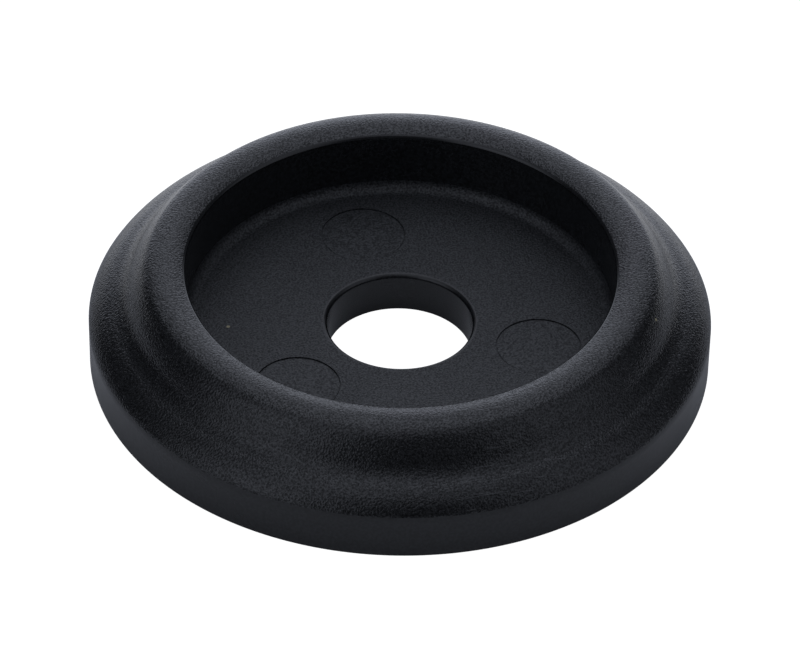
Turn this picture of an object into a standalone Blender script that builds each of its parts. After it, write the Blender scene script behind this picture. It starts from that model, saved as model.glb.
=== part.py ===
"""Toilet flange: the floor cup of a toilet cubicle leg, one injection moulding in black nylon.

Metres, +Z up. The origin is on the axis of the bolt hole, in the plane of the base face.
The shape is one turned section, with three ejector pin marks sunk into the cup floor.
"""

import math

import bpy
from mathutils import Vector

MM = 0.001

# Driving dimensions
OUTER_RADIUS = 30.0 * MM
HEIGHT = 11.0 * MM
FLOOR_THICKNESS = 4.15 * MM
CUP_RADIUS = 20.65 * MM
HOLE_RADIUS = 7.0 * MM

# Band: the smooth upright edge of the base, drafted towards the base face
BAND_HEIGHT = 4.8 * MM
BAND_DRAFT = 0.07 * MM
BASE_EDGE_RADIUS = 0.2 * MM

# Grained side, from the band upwards: lean is the angle between the section's tangent and the
# axis. The shoulder bends in from the band's top edge and the cove turns it up into the wall.
SHOULDER_RADIUS = 4.45 * MM
SHOULDER_START_LEAN = math.radians(28.5)
SHOULDER_END_LEAN = math.radians(69.0)
COVE_RADIUS = 2.95 * MM
WALL_FOOT_LEAN = math.radians(26.0)
WALL_TOP_LEAN = math.radians(44.5)

# Rim: a crowned bead between the crease at the top of the wall and the mouth of the cup
CROWN_RADIUS = 4.6 * MM
CROWN_START_LEAN = math.radians(66.5)
CROWN_END_LEAN = math.radians(111.0)

# Cup floor and hole
FLOOR_FILLET = 1.05 * MM
HOLE_LIP_RADIUS = 0.45 * MM

# Coring groove under the shoulder, which keeps the walls about 3 mm thick
GROOVE_INNER_RADIUS = 23.3 * MM
GROOVE_OUTER_RADIUS = 27.3 * MM
GROOVE_DEPTH = 3.1 * MM
GROOVE_DRAFT = 0.15 * MM

# Ejector pin marks in the cup floor
MARK_COUNT = 3
MARK_PITCH_RADIUS = 13.8 * MM
MARK_RADIUS = 4.1 * MM
MARK_DEPTH = 0.08 * MM
MARK_FIRST_ANGLE = math.radians(90.0)

TURN_STEPS = 64
MARK_STEPS = 32
SHARP_ANGLE = math.radians(32.0)
MERGE_DISTANCE = 0.00005

NYLON_COLOR = (0.0105, 0.0110, 0.0125, 1.0)
NYLON_ROUGHNESS = 0.42


def clear_scene():
    for scene_object in list(bpy.data.objects):
        bpy.data.objects.remove(scene_object, do_unlink=True)


def new_collection(name):
    collection = bpy.data.collections.new(name)
    bpy.context.scene.collection.children.link(collection)
    return collection


def nylon_material():
    material = bpy.data.materials.new("black_nylon")
    material.use_nodes = True
    shader = material.node_tree.nodes["Principled BSDF"]
    shader.inputs["Base Color"].default_value = NYLON_COLOR
    shader.inputs["Roughness"].default_value = NYLON_ROUGHNESS
    shader.inputs["Metallic"].default_value = 0.0
    return material


def arc(center, radius, start, end, steps):
    """Points of a round stretch of the section, in the plane of radius and height."""
    angles = [start + (end - start) * step / steps for step in range(steps + 1)]
    return [center + radius * Vector((math.cos(angle), math.sin(angle))) for angle in angles]


def bend(start, radius, start_lean, end_lean, steps):
    """Points of a bend that leaves start along start_lean: round where the lean grows, hollow
    where it falls."""
    if end_lean < start_lean:
        radius = -radius
    center = start - radius * Vector((math.cos(start_lean), math.sin(start_lean)))
    return arc(center, radius, start_lean, end_lean, steps)


def grained_side():
    """From the band up over the shoulder, through the cove and up the wall to the crease."""
    band_top = Vector((OUTER_RADIUS, BAND_HEIGHT))
    shoulder = bend(band_top, SHOULDER_RADIUS, SHOULDER_START_LEAN, SHOULDER_END_LEAN, 5)
    cove = bend(shoulder[-1], COVE_RADIUS, SHOULDER_END_LEAN, WALL_FOOT_LEAN, 5)
    crease_height = HEIGHT - CROWN_RADIUS * (1.0 - math.sin(CROWN_START_LEAN))
    climb = crease_height - cove[-1].y
    wall_radius = climb / (math.sin(WALL_TOP_LEAN) - math.sin(WALL_FOOT_LEAN))
    wall = bend(cove[-1], wall_radius, WALL_FOOT_LEAN, WALL_TOP_LEAN, 3)
    return shoulder + cove[1:] + wall[1:]


def rim():
    """From the crease over the crown and the mouth edge to the top of the cup wall."""
    crease = grained_side()[-1]
    outer = bend(crease, CROWN_RADIUS, CROWN_START_LEAN, math.pi / 2.0, 3)
    inner = bend(outer[-1], CROWN_RADIUS, math.pi / 2.0, CROWN_END_LEAN, 2)
    edge_radius = (inner[-1].x - CUP_RADIUS) / (1.0 + math.cos(CROWN_END_LEAN))
    edge = bend(inner[-1], edge_radius, CROWN_END_LEAN, math.pi, 4)
    return outer[1:] + inner[1:] + edge[1:]


def base_edge():
    """The rounded foot of the band, up from the base face."""
    base_radius = OUTER_RADIUS - BAND_DRAFT
    center = Vector((base_radius - BASE_EDGE_RADIUS, BASE_EDGE_RADIUS))
    return arc(center, BASE_EDGE_RADIUS, -math.pi / 2.0, 0.0, 2)


def underside():
    """The base face and the coring groove, from the inside outwards."""
    return [
        Vector((GROOVE_INNER_RADIUS, 0.0)),
        Vector((GROOVE_INNER_RADIUS + GROOVE_DRAFT, GROOVE_DEPTH)),
        Vector((GROOVE_OUTER_RADIUS - GROOVE_DRAFT, GROOVE_DEPTH)),
        Vector((GROOVE_OUTER_RADIUS, 0.0)),
    ]


def floor_and_hole():
    """From the foot of the cup wall in across the floor, over the hole's lip and down."""
    fillet_center = Vector((CUP_RADIUS - FLOOR_FILLET, FLOOR_THICKNESS + FLOOR_FILLET))
    fillet = arc(fillet_center, FLOOR_FILLET, 0.0, -math.pi / 2.0, 3)
    lip_center = Vector((HOLE_RADIUS + HOLE_LIP_RADIUS, FLOOR_THICKNESS - HOLE_LIP_RADIUS))
    lip = arc(lip_center, HOLE_LIP_RADIUS, math.pi / 2.0, math.pi, 3)
    return fillet + lip + [Vector((HOLE_RADIUS, 0.0))]


def section_object(collection):
    """The closed section as a wire, which the Screw modifier turns about the axis."""
    points = underside() + base_edge() + grained_side() + rim() + floor_and_hole()
    vertices = [(point.x, 0.0, point.y) for point in points]
    count = len(vertices)
    edges = [(index, (index + 1) % count) for index in range(count)]
    mesh = bpy.data.meshes.new("flange_body")
    mesh.from_pydata(vertices, edges, [])
    body = bpy.data.objects.new("flange_body", mesh)
    collection.objects.link(body)
    turn = body.modifiers.new("turn", "SCREW")
    turn.axis = "Z"
    turn.angle = math.tau
    turn.steps = TURN_STEPS
    turn.render_steps = TURN_STEPS
    turn.use_merge_vertices = True
    turn.merge_threshold = MERGE_DISTANCE
    return body


def ejector_mark_cutter(index, collection):
    """A short cylinder that sinks one pin mark into the cup floor."""
    angle = MARK_FIRST_ANGLE + math.tau * index / MARK_COUNT
    cutter_height = 2.0 * MM
    bpy.ops.mesh.primitive_cylinder_add(
        vertices=MARK_STEPS,
        radius=MARK_RADIUS,
        depth=cutter_height,
        location=(
            MARK_PITCH_RADIUS * math.cos(angle),
            MARK_PITCH_RADIUS * math.sin(angle),
            FLOOR_THICKNESS - MARK_DEPTH + cutter_height / 2.0,
        ),
    )
    cutter = bpy.context.object
    cutter.name = f"pin_mark_cutter_{index + 1}"
    for linked in list(cutter.users_collection):
        linked.objects.unlink(cutter)
    collection.objects.link(cutter)
    cutter.hide_render = True
    cutter.display_type = "WIRE"
    return cutter


def cut(body, cutter):
    modifier = body.modifiers.new(cutter.name, "BOOLEAN")
    modifier.operation = "DIFFERENCE"
    modifier.solver = "EXACT"
    modifier.object = cutter


def finish_shading(body):
    """Keep the finished solid, with its round faces smooth and its real edges sharp."""
    evaluated = body.evaluated_get(bpy.context.evaluated_depsgraph_get())
    solid = bpy.data.meshes.new_from_object(evaluated)
    body.modifiers.clear()
    body.data = solid
    solid.shade_smooth()
    solid.set_sharp_from_angle(angle=SHARP_ANGLE)


def main():
    clear_scene()
    parts = new_collection("toilet_flange")
    cutters = new_collection("toilet_flange_cutters")
    body = section_object(parts)
    body.data.materials.append(nylon_material())
    for index in range(MARK_COUNT):
        cut(body, ejector_mark_cutter(index, cutters))
    finish_shading(body)


main()
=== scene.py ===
"""The looks of the toilet flange: one turned moulding in black nylon, on a pale studio floor.

Metres, +Z up, in the frame of the CAD model. The moulding is turned again here from a fine
section, so that its fillets, crease and pin marks are real shapes, and each part of its skin
gets the finish that the mould gave it, with painted light on the paler cup floor and wall and
painted shade in the pits of its grain.
"""

import math

import bmesh
import bpy
from mathutils import Matrix, Vector


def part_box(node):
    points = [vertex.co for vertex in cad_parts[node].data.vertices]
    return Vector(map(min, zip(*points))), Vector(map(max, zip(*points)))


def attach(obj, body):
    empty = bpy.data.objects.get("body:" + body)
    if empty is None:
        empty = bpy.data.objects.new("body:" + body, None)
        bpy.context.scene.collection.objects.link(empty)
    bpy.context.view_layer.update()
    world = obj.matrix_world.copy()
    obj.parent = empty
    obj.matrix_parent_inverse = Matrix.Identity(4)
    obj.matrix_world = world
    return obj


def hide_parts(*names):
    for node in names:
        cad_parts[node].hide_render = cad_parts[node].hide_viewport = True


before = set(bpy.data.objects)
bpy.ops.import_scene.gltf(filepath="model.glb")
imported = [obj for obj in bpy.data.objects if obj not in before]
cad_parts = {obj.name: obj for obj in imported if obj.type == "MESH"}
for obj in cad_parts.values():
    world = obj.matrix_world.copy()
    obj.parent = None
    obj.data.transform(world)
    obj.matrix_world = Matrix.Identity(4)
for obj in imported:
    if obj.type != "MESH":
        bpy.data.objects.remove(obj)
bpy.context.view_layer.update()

LOW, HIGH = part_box("flange_body")
MM = 0.001

# Driving dimensions, from the frame where the box gives them
OUTER_RADIUS = (HIGH[0] - LOW[0]) / 2.0
HEIGHT = HIGH[2] - LOW[2]
FLOOR_THICKNESS = 4.15 * MM
CUP_RADIUS = 20.65 * MM
HOLE_RADIUS = 7.0 * MM

# Band: the smooth upright edge of the base
BAND_HEIGHT = 4.8 * MM
BAND_DRAFT = 0.07 * MM
BASE_EDGE_RADIUS = 0.2 * MM

# Grained side, from the band upwards: lean is the angle between the section's tangent and the
# axis. The shoulder bends in from the band's top edge and the cove turns it up into the wall.
SHOULDER_RADIUS = 4.45 * MM
SHOULDER_START_LEAN = math.radians(28.5)
SHOULDER_END_LEAN = math.radians(69.0)
COVE_RADIUS = 2.95 * MM
WALL_FOOT_LEAN = math.radians(26.0)
WALL_TOP_LEAN = math.radians(44.5)

# Rim: a crowned bead between the crease at the top of the wall and the mouth of the cup
CROWN_RADIUS = 4.6 * MM
CROWN_START_LEAN = math.radians(66.5)
CROWN_END_LEAN = math.radians(111.0)

# Cup floor and hole
FLOOR_FILLET = 1.05 * MM
HOLE_LIP_RADIUS = 0.45 * MM

# Coring groove under the shoulder
GROOVE_INNER_RADIUS = 23.3 * MM
GROOVE_OUTER_RADIUS = 27.3 * MM
GROOVE_DEPTH = 3.1 * MM
GROOVE_DRAFT = 0.15 * MM
GROOVE_ROOT_RADIUS = 0.5 * MM

# Ejector pin marks in the cup floor
MARK_COUNT = 3
MARK_PITCH_RADIUS = 13.8 * MM
MARK_FIRST_ANGLE = math.radians(90.0)
MARK_RADIUS = 4.1 * MM
MARK_DEPTH = 0.08 * MM

# The thin witness line round each mark, and how far its cutter overlaps that of the mark's face
MARK_RING_WIDTH = 0.11 * MM
MARK_RING_OVERLAP = 0.01 * MM
MARK_RING_DEPTH = 0.15 * MM

CUTTER_HEIGHT = 2.0 * MM

TURN_STEPS = 360
MARK_STEPS = 128
ARC_STEP = math.radians(5.0)
ARC_LEAST_STEPS = 3
BAND_STEPS = 6
HOLE_STEPS = 6
CUP_WALL_STEPS = 8
SHARP_ANGLE = math.radians(32.0)

# Zones of the skin, one material slot each
BAND, GRAINED, RIM, MOUTH_EDGE, CUP_WALL, CUP_FLOOR, HOLE, UNDERSIDE = range(8)

# Finish of each zone: the size and depth of its grain, how dull it is, how much painted shade
# dims the sheen in the pits of its grain, how scuffed it is, how much paler painted light makes
# it, and how glossy it is beside plain nylon
FINISHES = {
    BAND: dict(name="nylon_band", size=0.30 * MM, depth=0.004 * MM, dull=0.30, gloss=0.57),
    GRAINED: dict(
        name="nylon_coarse_grain", size=0.19 * MM, depth=0.055 * MM, dull=0.22, pits=0.38, wear=0.8
    ),
    RIM: dict(
        name="nylon_fine_grain", size=0.19 * MM, depth=0.055 * MM, dull=0.25, pits=0.45, wear=0.5
    ),
    MOUTH_EDGE: dict(name="nylon_mouth_edge", size=0.19 * MM, depth=0.003 * MM, dull=0.08),
    # Painted light: the cup wall and cup floor are the same nylon, painted paler.
    CUP_WALL: dict(name="nylon_cup_wall", size=0.30 * MM, depth=0.003 * MM, dull=0.25, tone=1.5),
    CUP_FLOOR: dict(
        name="nylon_cup_floor", size=0.19 * MM, depth=0.085 * MM, dull=0.52, pits=0.36, wear=0.3,
        tone=2.4, gloss=0.56,
    ),
    HOLE: dict(name="nylon_hole", size=0.30 * MM, depth=0.003 * MM, dull=0.25),
    UNDERSIDE: dict(name="nylon_underside", size=0.25 * MM, depth=0.006 * MM, dull=0.35),
}

# Black nylon, at the two ends of its faint clouding
NYLON_DARK = (0.0050, 0.0055, 0.0060, 1.0)
NYLON_PALE = (0.0070, 0.0076, 0.0083, 1.0)
NYLON_IOR = 1.5
CLOUD_SIZE = 6.0 * MM
CLOUD_LOW = 0.3
CLOUD_HIGH = 0.7
CLOUD_DULLNESS = 0.03

# The grain's noise in its pits and on its peaks, and how much painted shade darkens its pits
# and painted light pales its peaks
GRAIN_PIT = 0.35
GRAIN_PEAK = 0.65
GRAIN_PAINTED_SHADE = 0.6

# Short scratches where the skin has been rubbed: FROM and FULL are the levels of their noises
# at which they begin and are whole
RUBBED_PATCH = 9.0 * MM
RUBBED_FROM = 0.50
RUBBED_FULL = 0.60
SCRATCH_LENGTH = 5.0 * MM
SCRATCH_WIDTH = 0.16 * MM
SCRATCH_TURNS = (math.radians(25.0), math.radians(-50.0))
SCRATCH_FROM = 0.72
SCRATCH_FULL = 0.78
SCRATCH_COLOR = (0.045, 0.046, 0.048, 1.0)
SCRATCH_DULLNESS = 0.2

# Specks of dust: their radius at the edge and where they are solid, as parts of their spacing
SPECK_SPACING = 7.0 * MM
SPECK_EDGE = 0.03
SPECK_CORE = 0.018
SPECK_COLOR = (0.30, 0.27, 0.16, 1.0)

# Places of the color sockets on Blender's Mix node
MIX_FIRST = 6
MIX_SECOND = 7
MIX_RESULT = 2

# Camera: where it stands, as seen from the origin
CAMERA_AZIMUTH = math.radians(-105.7)
CAMERA_ELEVATION = math.radians(39.232)
CAMERA_DISTANCE = 0.7285
CAMERA_LENS = 338.56
CAMERA_ROLL = math.radians(1.05)
AIM_RIGHT = 0.0705 * MM
AIM_UP = 1.939 * MM
SENSOR_WIDTH = 36.0
CLIP_START = 0.05
CLIP_END = 50.0

# Studio light: azimuth from straight behind the flange and elevation of each soft panel, the
# angles from its middle where it is still full and where it is gone, and its brightness. The
# rows of PANELS are the printed result of a least-squares fit, and weren't chosen by hand.
ROOM_LEVEL = 0.042
LIGHT_TINT = (0.945, 1.0, 1.155, 1.0)
PANELS = {
    "backdrop": (0.0, 0.0, 0.0, 45.0, 1.18),
    "upper_backdrop": (-1.0, 57.0, 16.0, 28.0, 0.59),
    "ceiling": (141.0, 73.0, 37.0, 110.0, 0.04),
    "ceiling_right": (83.0, 79.0, 0.0, 44.0, 0.35),
    "left_window": (-129.0, 18.0, 0.0, 38.0, 0.51),
    "left_upper": (-124.0, 59.0, 0.0, 39.0, 0.36),
    "right_window": (112.0, 26.0, 0.0, 38.0, 0.34),
}

# The white floor and wall that the camera sees
STUDIO_RADIUS = 6.0
STUDIO_HEIGHT = 5.0
STUDIO_SEGMENTS = 96
STUDIO_ALBEDO = 0.4
STUDIO_GLOW = 0.98

# The floor sheet that the flange mirrors, just below the seen one, and the glow behind the
# flange: where it starts, where it is full and how bright it is
MIRRORED_RADIUS = 85.0 * MM
MIRRORED_DROP = 0.02 * MM
MIRRORED_ALBEDO = 0.88
GLOW_START = 21.0 * MM
GLOW_END = 50.0 * MM
GLOW_LEVEL = 0.75


# ---------------------------------------------------------------- section of the moulding

def arc(center, radius, start, end):
    """Points of a round stretch of the section, in the plane of radius and height."""
    steps = max(ARC_LEAST_STEPS, math.ceil(abs(end - start) / ARC_STEP))
    angles = [start + (end - start) * step / steps for step in range(steps + 1)]
    return [center + radius * Vector((math.cos(angle), math.sin(angle))) for angle in angles]


def straight(start, end, steps):
    """Points of a straight stretch, without its two ends."""
    return [start.lerp(end, step / steps) for step in range(1, steps)]


def bend(start, radius, start_lean, end_lean):
    """Points of a bend that leaves start along start_lean: round where the lean grows, hollow
    where it falls."""
    if end_lean < start_lean:
        radius = -radius
    center = start - radius * Vector((math.cos(start_lean), math.sin(start_lean)))
    return arc(center, radius, start_lean, end_lean)


def grained_side():
    """From the band up over the shoulder, through the cove and up the wall to the crease."""
    band_top = Vector((OUTER_RADIUS, BAND_HEIGHT))
    shoulder = bend(band_top, SHOULDER_RADIUS, SHOULDER_START_LEAN, SHOULDER_END_LEAN)
    cove = bend(shoulder[-1], COVE_RADIUS, SHOULDER_END_LEAN, WALL_FOOT_LEAN)
    crease_height = HEIGHT - CROWN_RADIUS * (1.0 - math.sin(CROWN_START_LEAN))
    climb = crease_height - cove[-1].y
    wall_radius = climb / (math.sin(WALL_TOP_LEAN) - math.sin(WALL_FOOT_LEAN))
    wall = bend(cove[-1], wall_radius, WALL_FOOT_LEAN, WALL_TOP_LEAN)
    return shoulder + cove[1:] + wall[1:]


def crown():
    """From the crease over the crest, with a point on it, to the mouth edge."""
    outer = bend(grained_side()[-1], CROWN_RADIUS, CROWN_START_LEAN, math.pi / 2.0)
    return outer + bend(outer[-1], CROWN_RADIUS, math.pi / 2.0, CROWN_END_LEAN)[1:]


def mouth_edge():
    """The round edge that turns the crown down into the cup wall."""
    start = crown()[-1]
    radius = (start.x - CUP_RADIUS) / (1.0 + math.cos(CROWN_END_LEAN))
    return bend(start, radius, CROWN_END_LEAN, math.pi)


def band():
    """The smooth upright edge, down to its rounded foot."""
    base_radius = OUTER_RADIUS - BAND_DRAFT
    edge_center = Vector((base_radius - BASE_EDGE_RADIUS, BASE_EDGE_RADIUS))
    edge = arc(edge_center, BASE_EDGE_RADIUS, 0.0, -math.pi / 2.0)
    return straight(Vector((OUTER_RADIUS, BAND_HEIGHT)), edge[0], BAND_STEPS) + edge


def underside():
    """The base face and the coring groove, from the outside inwards."""
    root = GROOVE_ROOT_RADIUS
    outer_root = Vector((GROOVE_OUTER_RADIUS - GROOVE_DRAFT - root, GROOVE_DEPTH - root))
    inner_root = Vector((GROOVE_INNER_RADIUS + GROOVE_DRAFT + root, GROOVE_DEPTH - root))
    points = [Vector((GROOVE_OUTER_RADIUS, 0.0))]
    points += arc(outer_root, root, 0.0, math.pi / 2.0)
    points += arc(inner_root, root, math.pi / 2.0, math.pi)
    points.append(Vector((GROOVE_INNER_RADIUS, 0.0)))
    points.append(Vector((HOLE_RADIUS, 0.0)))
    return points


def hole():
    """Up the bolt hole and over its lip."""
    foot = underside()[-1]
    lip_center = Vector((HOLE_RADIUS + HOLE_LIP_RADIUS, FLOOR_THICKNESS - HOLE_LIP_RADIUS))
    lip = arc(lip_center, HOLE_LIP_RADIUS, math.pi, math.pi / 2.0)
    return straight(foot, lip[0], HOLE_STEPS) + lip


def cup_floor():
    """The floor's outer edge and its fillet, up to the cup wall."""
    fillet_center = Vector((CUP_RADIUS - FLOOR_FILLET, FLOOR_THICKNESS + FLOOR_FILLET))
    return arc(fillet_center, FLOOR_FILLET, -math.pi / 2.0, 0.0)


def section():
    """The closed section as (point, zone) pairs: each stretch of skin ends at its point."""
    edge = list(reversed(mouth_edge()))
    wall = straight(cup_floor()[-1], edge[0], CUP_WALL_STEPS) + edge[:1]
    stretches = [
        (list(reversed(grained_side()))[1:], GRAINED),
        (band(), BAND),
        (underside(), UNDERSIDE),
        (hole(), HOLE),
        (cup_floor(), CUP_FLOOR),
        (wall, CUP_WALL),
        (edge[1:], MOUTH_EDGE),
        (list(reversed(crown()))[1:], RIM),
    ]
    return [(point, zone) for points, zone in stretches for point in points]


# ---------------------------------------------------------------- the mesh

def finished_mesh(name, mesh_data):
    """Write a bmesh into a mesh of this name, and free it."""
    mesh = bpy.data.meshes.new(name)
    mesh_data.to_mesh(mesh)
    mesh_data.free()
    return mesh


def turned_mesh(name, outline, steps):
    """Turn a closed outline of (point, zone) pairs about +Z."""
    mesh_data = bmesh.new()
    rings = []
    for point, _ in outline:
        ring = []
        for step in range(steps):
            angle = math.tau * step / steps
            place = (point.x * math.cos(angle), point.x * math.sin(angle), point.y)
            ring.append(mesh_data.verts.new(place))
        rings.append(ring)
    for index, (_, zone) in enumerate(outline):
        start = rings[index - 1]
        end = rings[index]
        for step in range(steps):
            after = (step + 1) % steps
            face = mesh_data.faces.new((start[step], end[step], end[after], start[after]))
            face.material_index = zone
            face.smooth = True
    bmesh.ops.recalc_face_normals(mesh_data, faces=mesh_data.faces)
    return finished_mesh(name, mesh_data)


def mark_face_cutter(name):
    """A shallow drum, which sinks the face of one ejector pin mark."""
    drum = bmesh.new()
    middle = FLOOR_THICKNESS - MARK_DEPTH + CUTTER_HEIGHT / 2.0
    bmesh.ops.create_cone(
        drum,
        cap_ends=True,
        segments=MARK_STEPS,
        radius1=MARK_RADIUS - MARK_RING_WIDTH,
        radius2=MARK_RADIUS - MARK_RING_WIDTH,
        depth=CUTTER_HEIGHT,
        matrix=Matrix.Translation((0.0, 0.0, middle)),
    )
    for face in drum.faces:
        face.material_index = CUP_FLOOR
    return bpy.data.objects.new(name, finished_mesh(name, drum))


def mark_ring_cutter(name):
    """A thin ring, which sinks the witness line round the edge of one pin mark."""
    inner = MARK_RADIUS - MARK_RING_WIDTH - MARK_RING_OVERLAP
    bottom = FLOOR_THICKNESS - MARK_RING_DEPTH
    top = FLOOR_THICKNESS + CUTTER_HEIGHT / 2.0
    corners = [(inner, bottom), (MARK_RADIUS, bottom), (MARK_RADIUS, top), (inner, top)]
    outline = [(Vector(corner), CUP_FLOOR) for corner in corners]
    return bpy.data.objects.new(name, turned_mesh(name, outline, MARK_STEPS))


def mark_cutters():
    """Both cutters of every pin mark, at their places in the cup floor."""
    cutters = []
    for index in range(MARK_COUNT):
        angle = MARK_FIRST_ANGLE + math.tau * index / MARK_COUNT
        place = Vector((math.cos(angle), math.sin(angle), 0.0)) * MARK_PITCH_RADIUS
        pair = [
            mark_face_cutter(f"mark_face_{index + 1}"),
            mark_ring_cutter(f"mark_ring_{index + 1}"),
        ]
        for cutter in pair:
            cutter.location = place
        cutters += pair
    return cutters


def cut_marks(body):
    """Sink the pin marks and keep the cut mesh, without the cutters."""
    cutters = mark_cutters()
    for cutter in cutters:
        bpy.context.scene.collection.objects.link(cutter)
        modifier = body.modifiers.new(cutter.name, "BOOLEAN")
        modifier.operation = "DIFFERENCE"
        modifier.solver = "EXACT"
        modifier.object = cutter
    evaluated = body.evaluated_get(bpy.context.evaluated_depsgraph_get())
    solid = bpy.data.meshes.new_from_object(evaluated)
    body.modifiers.clear()
    body.data = solid
    for cutter in cutters:
        bpy.data.objects.remove(cutter, do_unlink=True)


# ---------------------------------------------------------------- materials

def node(tree, kind, **settings):
    """A new node with these settings."""
    made = tree.nodes.new(kind)
    for key, value in settings.items():
        setattr(made, key, value)
    return made


def remap(tree, source, from_min, from_max, to_min, to_max):
    """Carry a socket's range over to another one, held at its ends."""
    mapped = node(tree, "ShaderNodeMapRange")
    tree.links.new(source, mapped.inputs["Value"])
    mapped.inputs["From Min"].default_value = from_min
    mapped.inputs["From Max"].default_value = from_max
    mapped.inputs["To Min"].default_value = to_min
    mapped.inputs["To Max"].default_value = to_max
    return mapped.outputs["Result"]


def noise(tree, place, size, detail):
    """A noise whose features are about this size."""
    texture = node(tree, "ShaderNodeTexNoise")
    tree.links.new(place, texture.inputs["Vector"])
    texture.inputs["Scale"].default_value = 1.0 / size
    texture.inputs["Detail"].default_value = detail
    return texture.outputs["Fac"]


def stretched(tree, place, turn, length, width):
    """Coordinates in which a noise of size 1 is drawn out into streaks."""
    mapping = node(tree, "ShaderNodeMapping")
    tree.links.new(place, mapping.inputs["Vector"])
    mapping.inputs["Rotation"].default_value = (0.0, 0.0, turn)
    mapping.inputs["Scale"].default_value = (1.0 / length, 1.0 / width, 1.0 / width)
    return mapping.outputs["Vector"]


def math_node(tree, operation, first, second):
    """This operation on two sockets or numbers, held between 0 and 1."""
    made = node(tree, "ShaderNodeMath", operation=operation, use_clamp=True)
    for socket, value in zip(made.inputs, (first, second)):
        if isinstance(value, float):
            socket.default_value = value
        else:
            tree.links.new(value, socket)
    return made.outputs["Value"]


def scratches(tree, place):
    """1 on fine short scratches, in two crossing directions, where the skin has been rubbed."""
    patches = noise(tree, place, RUBBED_PATCH, detail=1.0)
    rubbed = remap(tree, patches, RUBBED_FROM, RUBBED_FULL, 0.0, 1.0)
    lines = []
    for turn in SCRATCH_TURNS:
        along = stretched(tree, place, turn, SCRATCH_LENGTH, SCRATCH_WIDTH)
        streak = noise(tree, along, 1.0, detail=0.0)
        lines.append(remap(tree, streak, SCRATCH_FROM, SCRATCH_FULL, 0.0, 1.0))
    return math_node(tree, "MULTIPLY", math_node(tree, "MAXIMUM", *lines), rubbed)


def specks(tree, place):
    """1 on tiny specks of dust, a few on the whole flange."""
    cells = node(tree, "ShaderNodeTexVoronoi")
    tree.links.new(place, cells.inputs["Vector"])
    cells.inputs["Scale"].default_value = 1.0 / SPECK_SPACING
    return remap(tree, cells.outputs["Distance"], SPECK_EDGE, SPECK_CORE, 0.0, 1.0)


def mix_color(tree, factor, first, second):
    """Blend the color of a socket towards a fixed color."""
    mix = node(tree, "ShaderNodeMix", data_type="RGBA")
    tree.links.new(factor, mix.inputs["Factor"])
    tree.links.new(first, mix.inputs[MIX_FIRST])
    mix.inputs[MIX_SECOND].default_value = second
    return mix.outputs[MIX_RESULT]


def scaled_color(tree, color, factor):
    """Brighten or darken the color of a socket."""
    scale = node(tree, "ShaderNodeVectorMath", operation="SCALE")
    tree.links.new(color, scale.inputs["Vector"])
    tree.links.new(factor, scale.inputs["Scale"])
    return scale.outputs["Vector"]


def moulded_nylon(name, size, depth, dull, pits=0.0, wear=0.0, tone=1.0, gloss=0.5):
    """Black nylon with one of the finishes, its colour painted paler as painted light on some
    zones, and darker with painted shade in the pits of its grain.
    """
    material = bpy.data.materials.new(name)
    material.use_nodes = True
    tree = material.node_tree
    shader = tree.nodes["Principled BSDF"]
    place = node(tree, "ShaderNodeTexCoord").outputs["Object"]

    grain = noise(tree, place, size, detail=1.0)
    bump = node(tree, "ShaderNodeBump")
    bump.inputs["Strength"].default_value = 1.0
    bump.inputs["Distance"].default_value = depth
    tree.links.new(grain, bump.inputs["Height"])
    tree.links.new(bump.outputs["Normal"], shader.inputs["Normal"])

    cloud = noise(tree, place, CLOUD_SIZE, detail=3.0)
    dullest = dull + CLOUD_DULLNESS
    dullness = remap(tree, cloud, CLOUD_LOW, CLOUD_HIGH, dull - CLOUD_DULLNESS, dullest)
    clouded = node(tree, "ShaderNodeValToRGB")
    clouded.color_ramp.elements[0].color = NYLON_DARK
    clouded.color_ramp.elements[1].color = NYLON_PALE
    tree.links.new(cloud, clouded.inputs["Fac"])
    # Painted light and shade in the colour: the zone's tone pales it, and the grain darkens its
    # pits and pales its peaks.
    painted_peak_level = tone * (1.0 + GRAIN_PAINTED_SHADE)
    painted_grain_shading = remap(tree, grain, GRAIN_PIT, GRAIN_PEAK, tone * (1.0 - GRAIN_PAINTED_SHADE), painted_peak_level)
    color = scaled_color(tree, clouded.outputs["Color"], painted_grain_shading)

    if wear > 0.0:
        scuffs = math_node(tree, "MULTIPLY", scratches(tree, place), wear)
        color = mix_color(tree, scuffs, color, SCRATCH_COLOR)
        color = mix_color(tree, specks(tree, place), color, SPECK_COLOR)
        roughened = math_node(tree, "MULTIPLY", scuffs, SCRATCH_DULLNESS)
        dullness = math_node(tree, "ADD", dullness, roughened)
    tree.links.new(dullness, shader.inputs["Roughness"])
    tree.links.new(color, shader.inputs["Base Color"])

    # Painted shade in the sheen: the grain's pits reflect less than its peaks.
    shaded_sheen = remap(tree, grain, GRAIN_PIT, GRAIN_PEAK, gloss * (1.0 - pits), gloss * (1.0 + pits))
    tree.links.new(shaded_sheen, shader.inputs["Specular IOR Level"])
    shader.inputs["IOR"].default_value = NYLON_IOR
    return material


def make_moulding():
    """The whole flange: turned, finished zone by zone, with its pin marks sunk."""
    mesh = turned_mesh("flange_moulding", section(), TURN_STEPS)
    body = bpy.data.objects.new("flange_moulding", mesh)
    bpy.context.scene.collection.objects.link(body)
    for zone in sorted(FINISHES):
        mesh.materials.append(moulded_nylon(**FINISHES[zone]))
    cut_marks(body)
    body.data.shade_smooth()
    body.data.set_sharp_from_angle(angle=SHARP_ANGLE)
    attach(body, "root")
    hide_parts("flange_body")


# ---------------------------------------------------------------- studio

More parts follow.
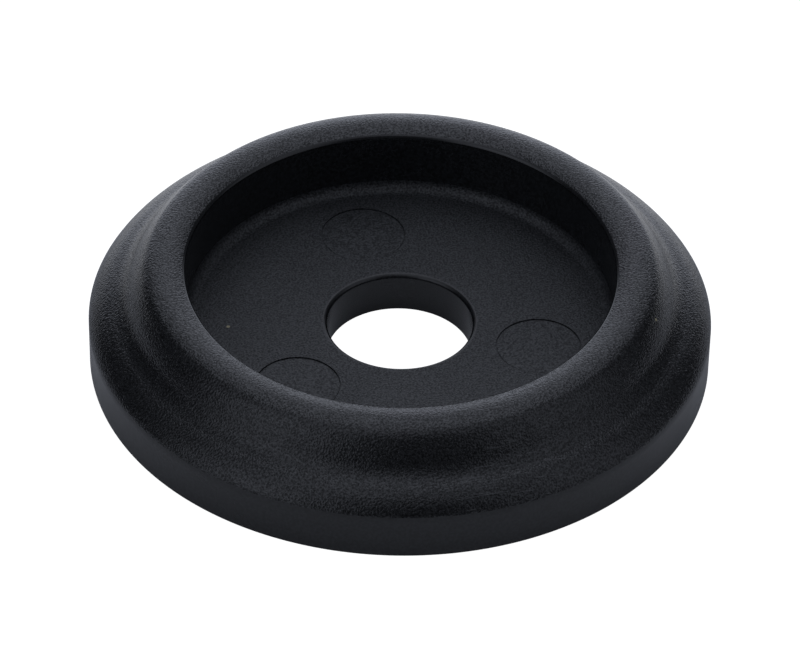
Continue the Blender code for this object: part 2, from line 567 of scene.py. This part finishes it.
def camera_directions():
    """Unit vectors from the origin to the camera, and to the picture's right and up."""
    back = Vector((
        math.cos(CAMERA_ELEVATION) * math.cos(CAMERA_AZIMUTH),
        math.cos(CAMERA_ELEVATION) * math.sin(CAMERA_AZIMUTH),
        math.sin(CAMERA_ELEVATION),
    ))
    right = Vector((-math.sin(CAMERA_AZIMUTH), math.cos(CAMERA_AZIMUTH), 0.0))
    up = back.cross(right)
    roll = Matrix.Rotation(CAMERA_ROLL, 3, back)
    return back, roll @ right, roll @ up


def make_camera():
    back, right, up = camera_directions()
    data = bpy.data.cameras.new("camera")
    data.lens = CAMERA_LENS
    data.sensor_width = SENSOR_WIDTH
    data.clip_start = CLIP_START
    data.clip_end = CLIP_END
    camera = bpy.data.objects.new("camera", data)
    turn = Matrix((right, up, back)).transposed()
    place = back * CAMERA_DISTANCE + right * AIM_RIGHT + up * AIM_UP
    camera.matrix_world = Matrix.Translation(place) @ turn.to_4x4()
    bpy.context.scene.collection.objects.link(camera)
    bpy.context.scene.camera = camera


def studio_object(name, mesh_data, material):
    """An object of the studio, made from a bmesh."""
    mesh = finished_mesh(name, mesh_data)
    mesh.materials.append(material)
    made = bpy.data.objects.new(name, mesh)
    bpy.context.scene.collection.objects.link(made)
    return made


def floor_disc(name, radius, material):
    """A round sheet of floor at the height of the base face."""
    disc = bmesh.new()
    bmesh.ops.create_circle(disc, cap_ends=True, segments=STUDIO_SEGMENTS, radius=radius)
    floor = studio_object(name, disc, material)
    return floor


def backdrop_wall(name, radius, height, material):
    """An open round wall on the floor's edge, so that low views stay white above it."""
    side = bmesh.new()
    bmesh.ops.create_cone(
        side,
        cap_ends=False,
        segments=STUDIO_SEGMENTS,
        radius1=radius,
        radius2=radius,
        depth=2.0 * height,
    )
    wall = studio_object(name, side, material)
    return wall


def floor_material(name, albedo, glow):
    """A dull grey that glows white this much."""
    material = bpy.data.materials.new(name)
    material.use_nodes = True
    shader = material.node_tree.nodes["Principled BSDF"]
    shader.inputs["Base Color"].default_value = (albedo, albedo, albedo, 1.0)
    shader.inputs["Roughness"].default_value = 1.0
    shader.inputs["Specular IOR Level"].default_value = 0.0
    shader.inputs["Emission Color"].default_value = (1.0, 1.0, 1.0, 1.0)
    shader.inputs["Emission Strength"].default_value = glow
    return material


def brighten_behind(material):
    """Let the floor glow more and more behind the flange, where the backdrop lights it."""
    tree = material.node_tree
    behind = node(tree, "ShaderNodeVectorMath", operation="DOT_PRODUCT")
    tree.links.new(node(tree, "ShaderNodeTexCoord").outputs["Object"], behind.inputs[0])
    behind.inputs[1].default_value = studio_direction(0.0, 0.0)
    glow = remap(tree, behind.outputs["Value"], GLOW_START, GLOW_END, 0.0, GLOW_LEVEL)
    tree.links.new(glow, tree.nodes["Principled BSDF"].inputs["Emission Strength"])


def make_floor():
    """The white floor and wall that are seen, and the floor sheet that is mirrored."""
    white = floor_material("floor_white", STUDIO_ALBEDO, STUDIO_GLOW)
    seen = floor_disc("floor_seen", STUDIO_RADIUS, white)
    wall = backdrop_wall("backdrop_seen", STUDIO_RADIUS, STUDIO_HEIGHT, white)
    for piece in (seen, wall):
        piece.visible_diffuse = False
        piece.visible_glossy = False
        piece.visible_shadow = False
    pale = floor_material("floor_pale", MIRRORED_ALBEDO, 0.0)
    brighten_behind(pale)
    mirrored = floor_disc("floor_mirrored", MIRRORED_RADIUS, pale)
    mirrored.location.z = -MIRRORED_DROP
    mirrored.visible_camera = False


def studio_direction(azimuth, elevation):
    """A unit vector: azimuth runs from straight behind the flange to the picture's right."""
    heading = CAMERA_AZIMUTH + math.pi - azimuth
    level = math.cos(elevation)
    return Vector((level * math.cos(heading), level * math.sin(heading), math.sin(elevation)))


def panel_light(tree, direction, panel):
    """The brightness that one soft panel adds: full near its middle, gone at its edge."""
    azimuth, elevation, full, gone, level = panel
    towards = node(tree, "ShaderNodeVectorMath", operation="DOT_PRODUCT")
    tree.links.new(direction, towards.inputs[0])
    middle = studio_direction(math.radians(azimuth), math.radians(elevation))
    towards.inputs[1].default_value = middle
    glow = node(tree, "ShaderNodeMapRange", interpolation_type="SMOOTHSTEP")
    tree.links.new(towards.outputs["Value"], glow.inputs["Value"])
    glow.inputs["From Min"].default_value = math.cos(math.radians(gone))
    glow.inputs["From Max"].default_value = math.cos(math.radians(full))
    glow.inputs["To Min"].default_value = 0.0
    glow.inputs["To Max"].default_value = level
    return glow.outputs["Result"]


def make_world():
    """A dim room with soft panels around the flange, which its skin mirrors."""
    world = bpy.data.worlds.new("studio")
    world.use_nodes = True
    tree = world.node_tree
    background = tree.nodes["Background"]
    direction = node(tree, "ShaderNodeTexCoord").outputs["Generated"]
    room = node(tree, "ShaderNodeValue")
    room.outputs["Value"].default_value = ROOM_LEVEL
    light = room.outputs["Value"]
    for panel in PANELS.values():
        total = node(tree, "ShaderNodeMath", operation="ADD")
        tree.links.new(light, total.inputs[0])
        tree.links.new(panel_light(tree, direction, panel), total.inputs[1])
        light = total.outputs["Value"]
    tree.links.new(light, background.inputs["Strength"])
    background.inputs["Color"].default_value = LIGHT_TINT
    bpy.context.scene.world = world


make_camera()
make_floor()
make_world()
make_moulding()
bpy.context.scene.view_settings.view_transform = "Standard"
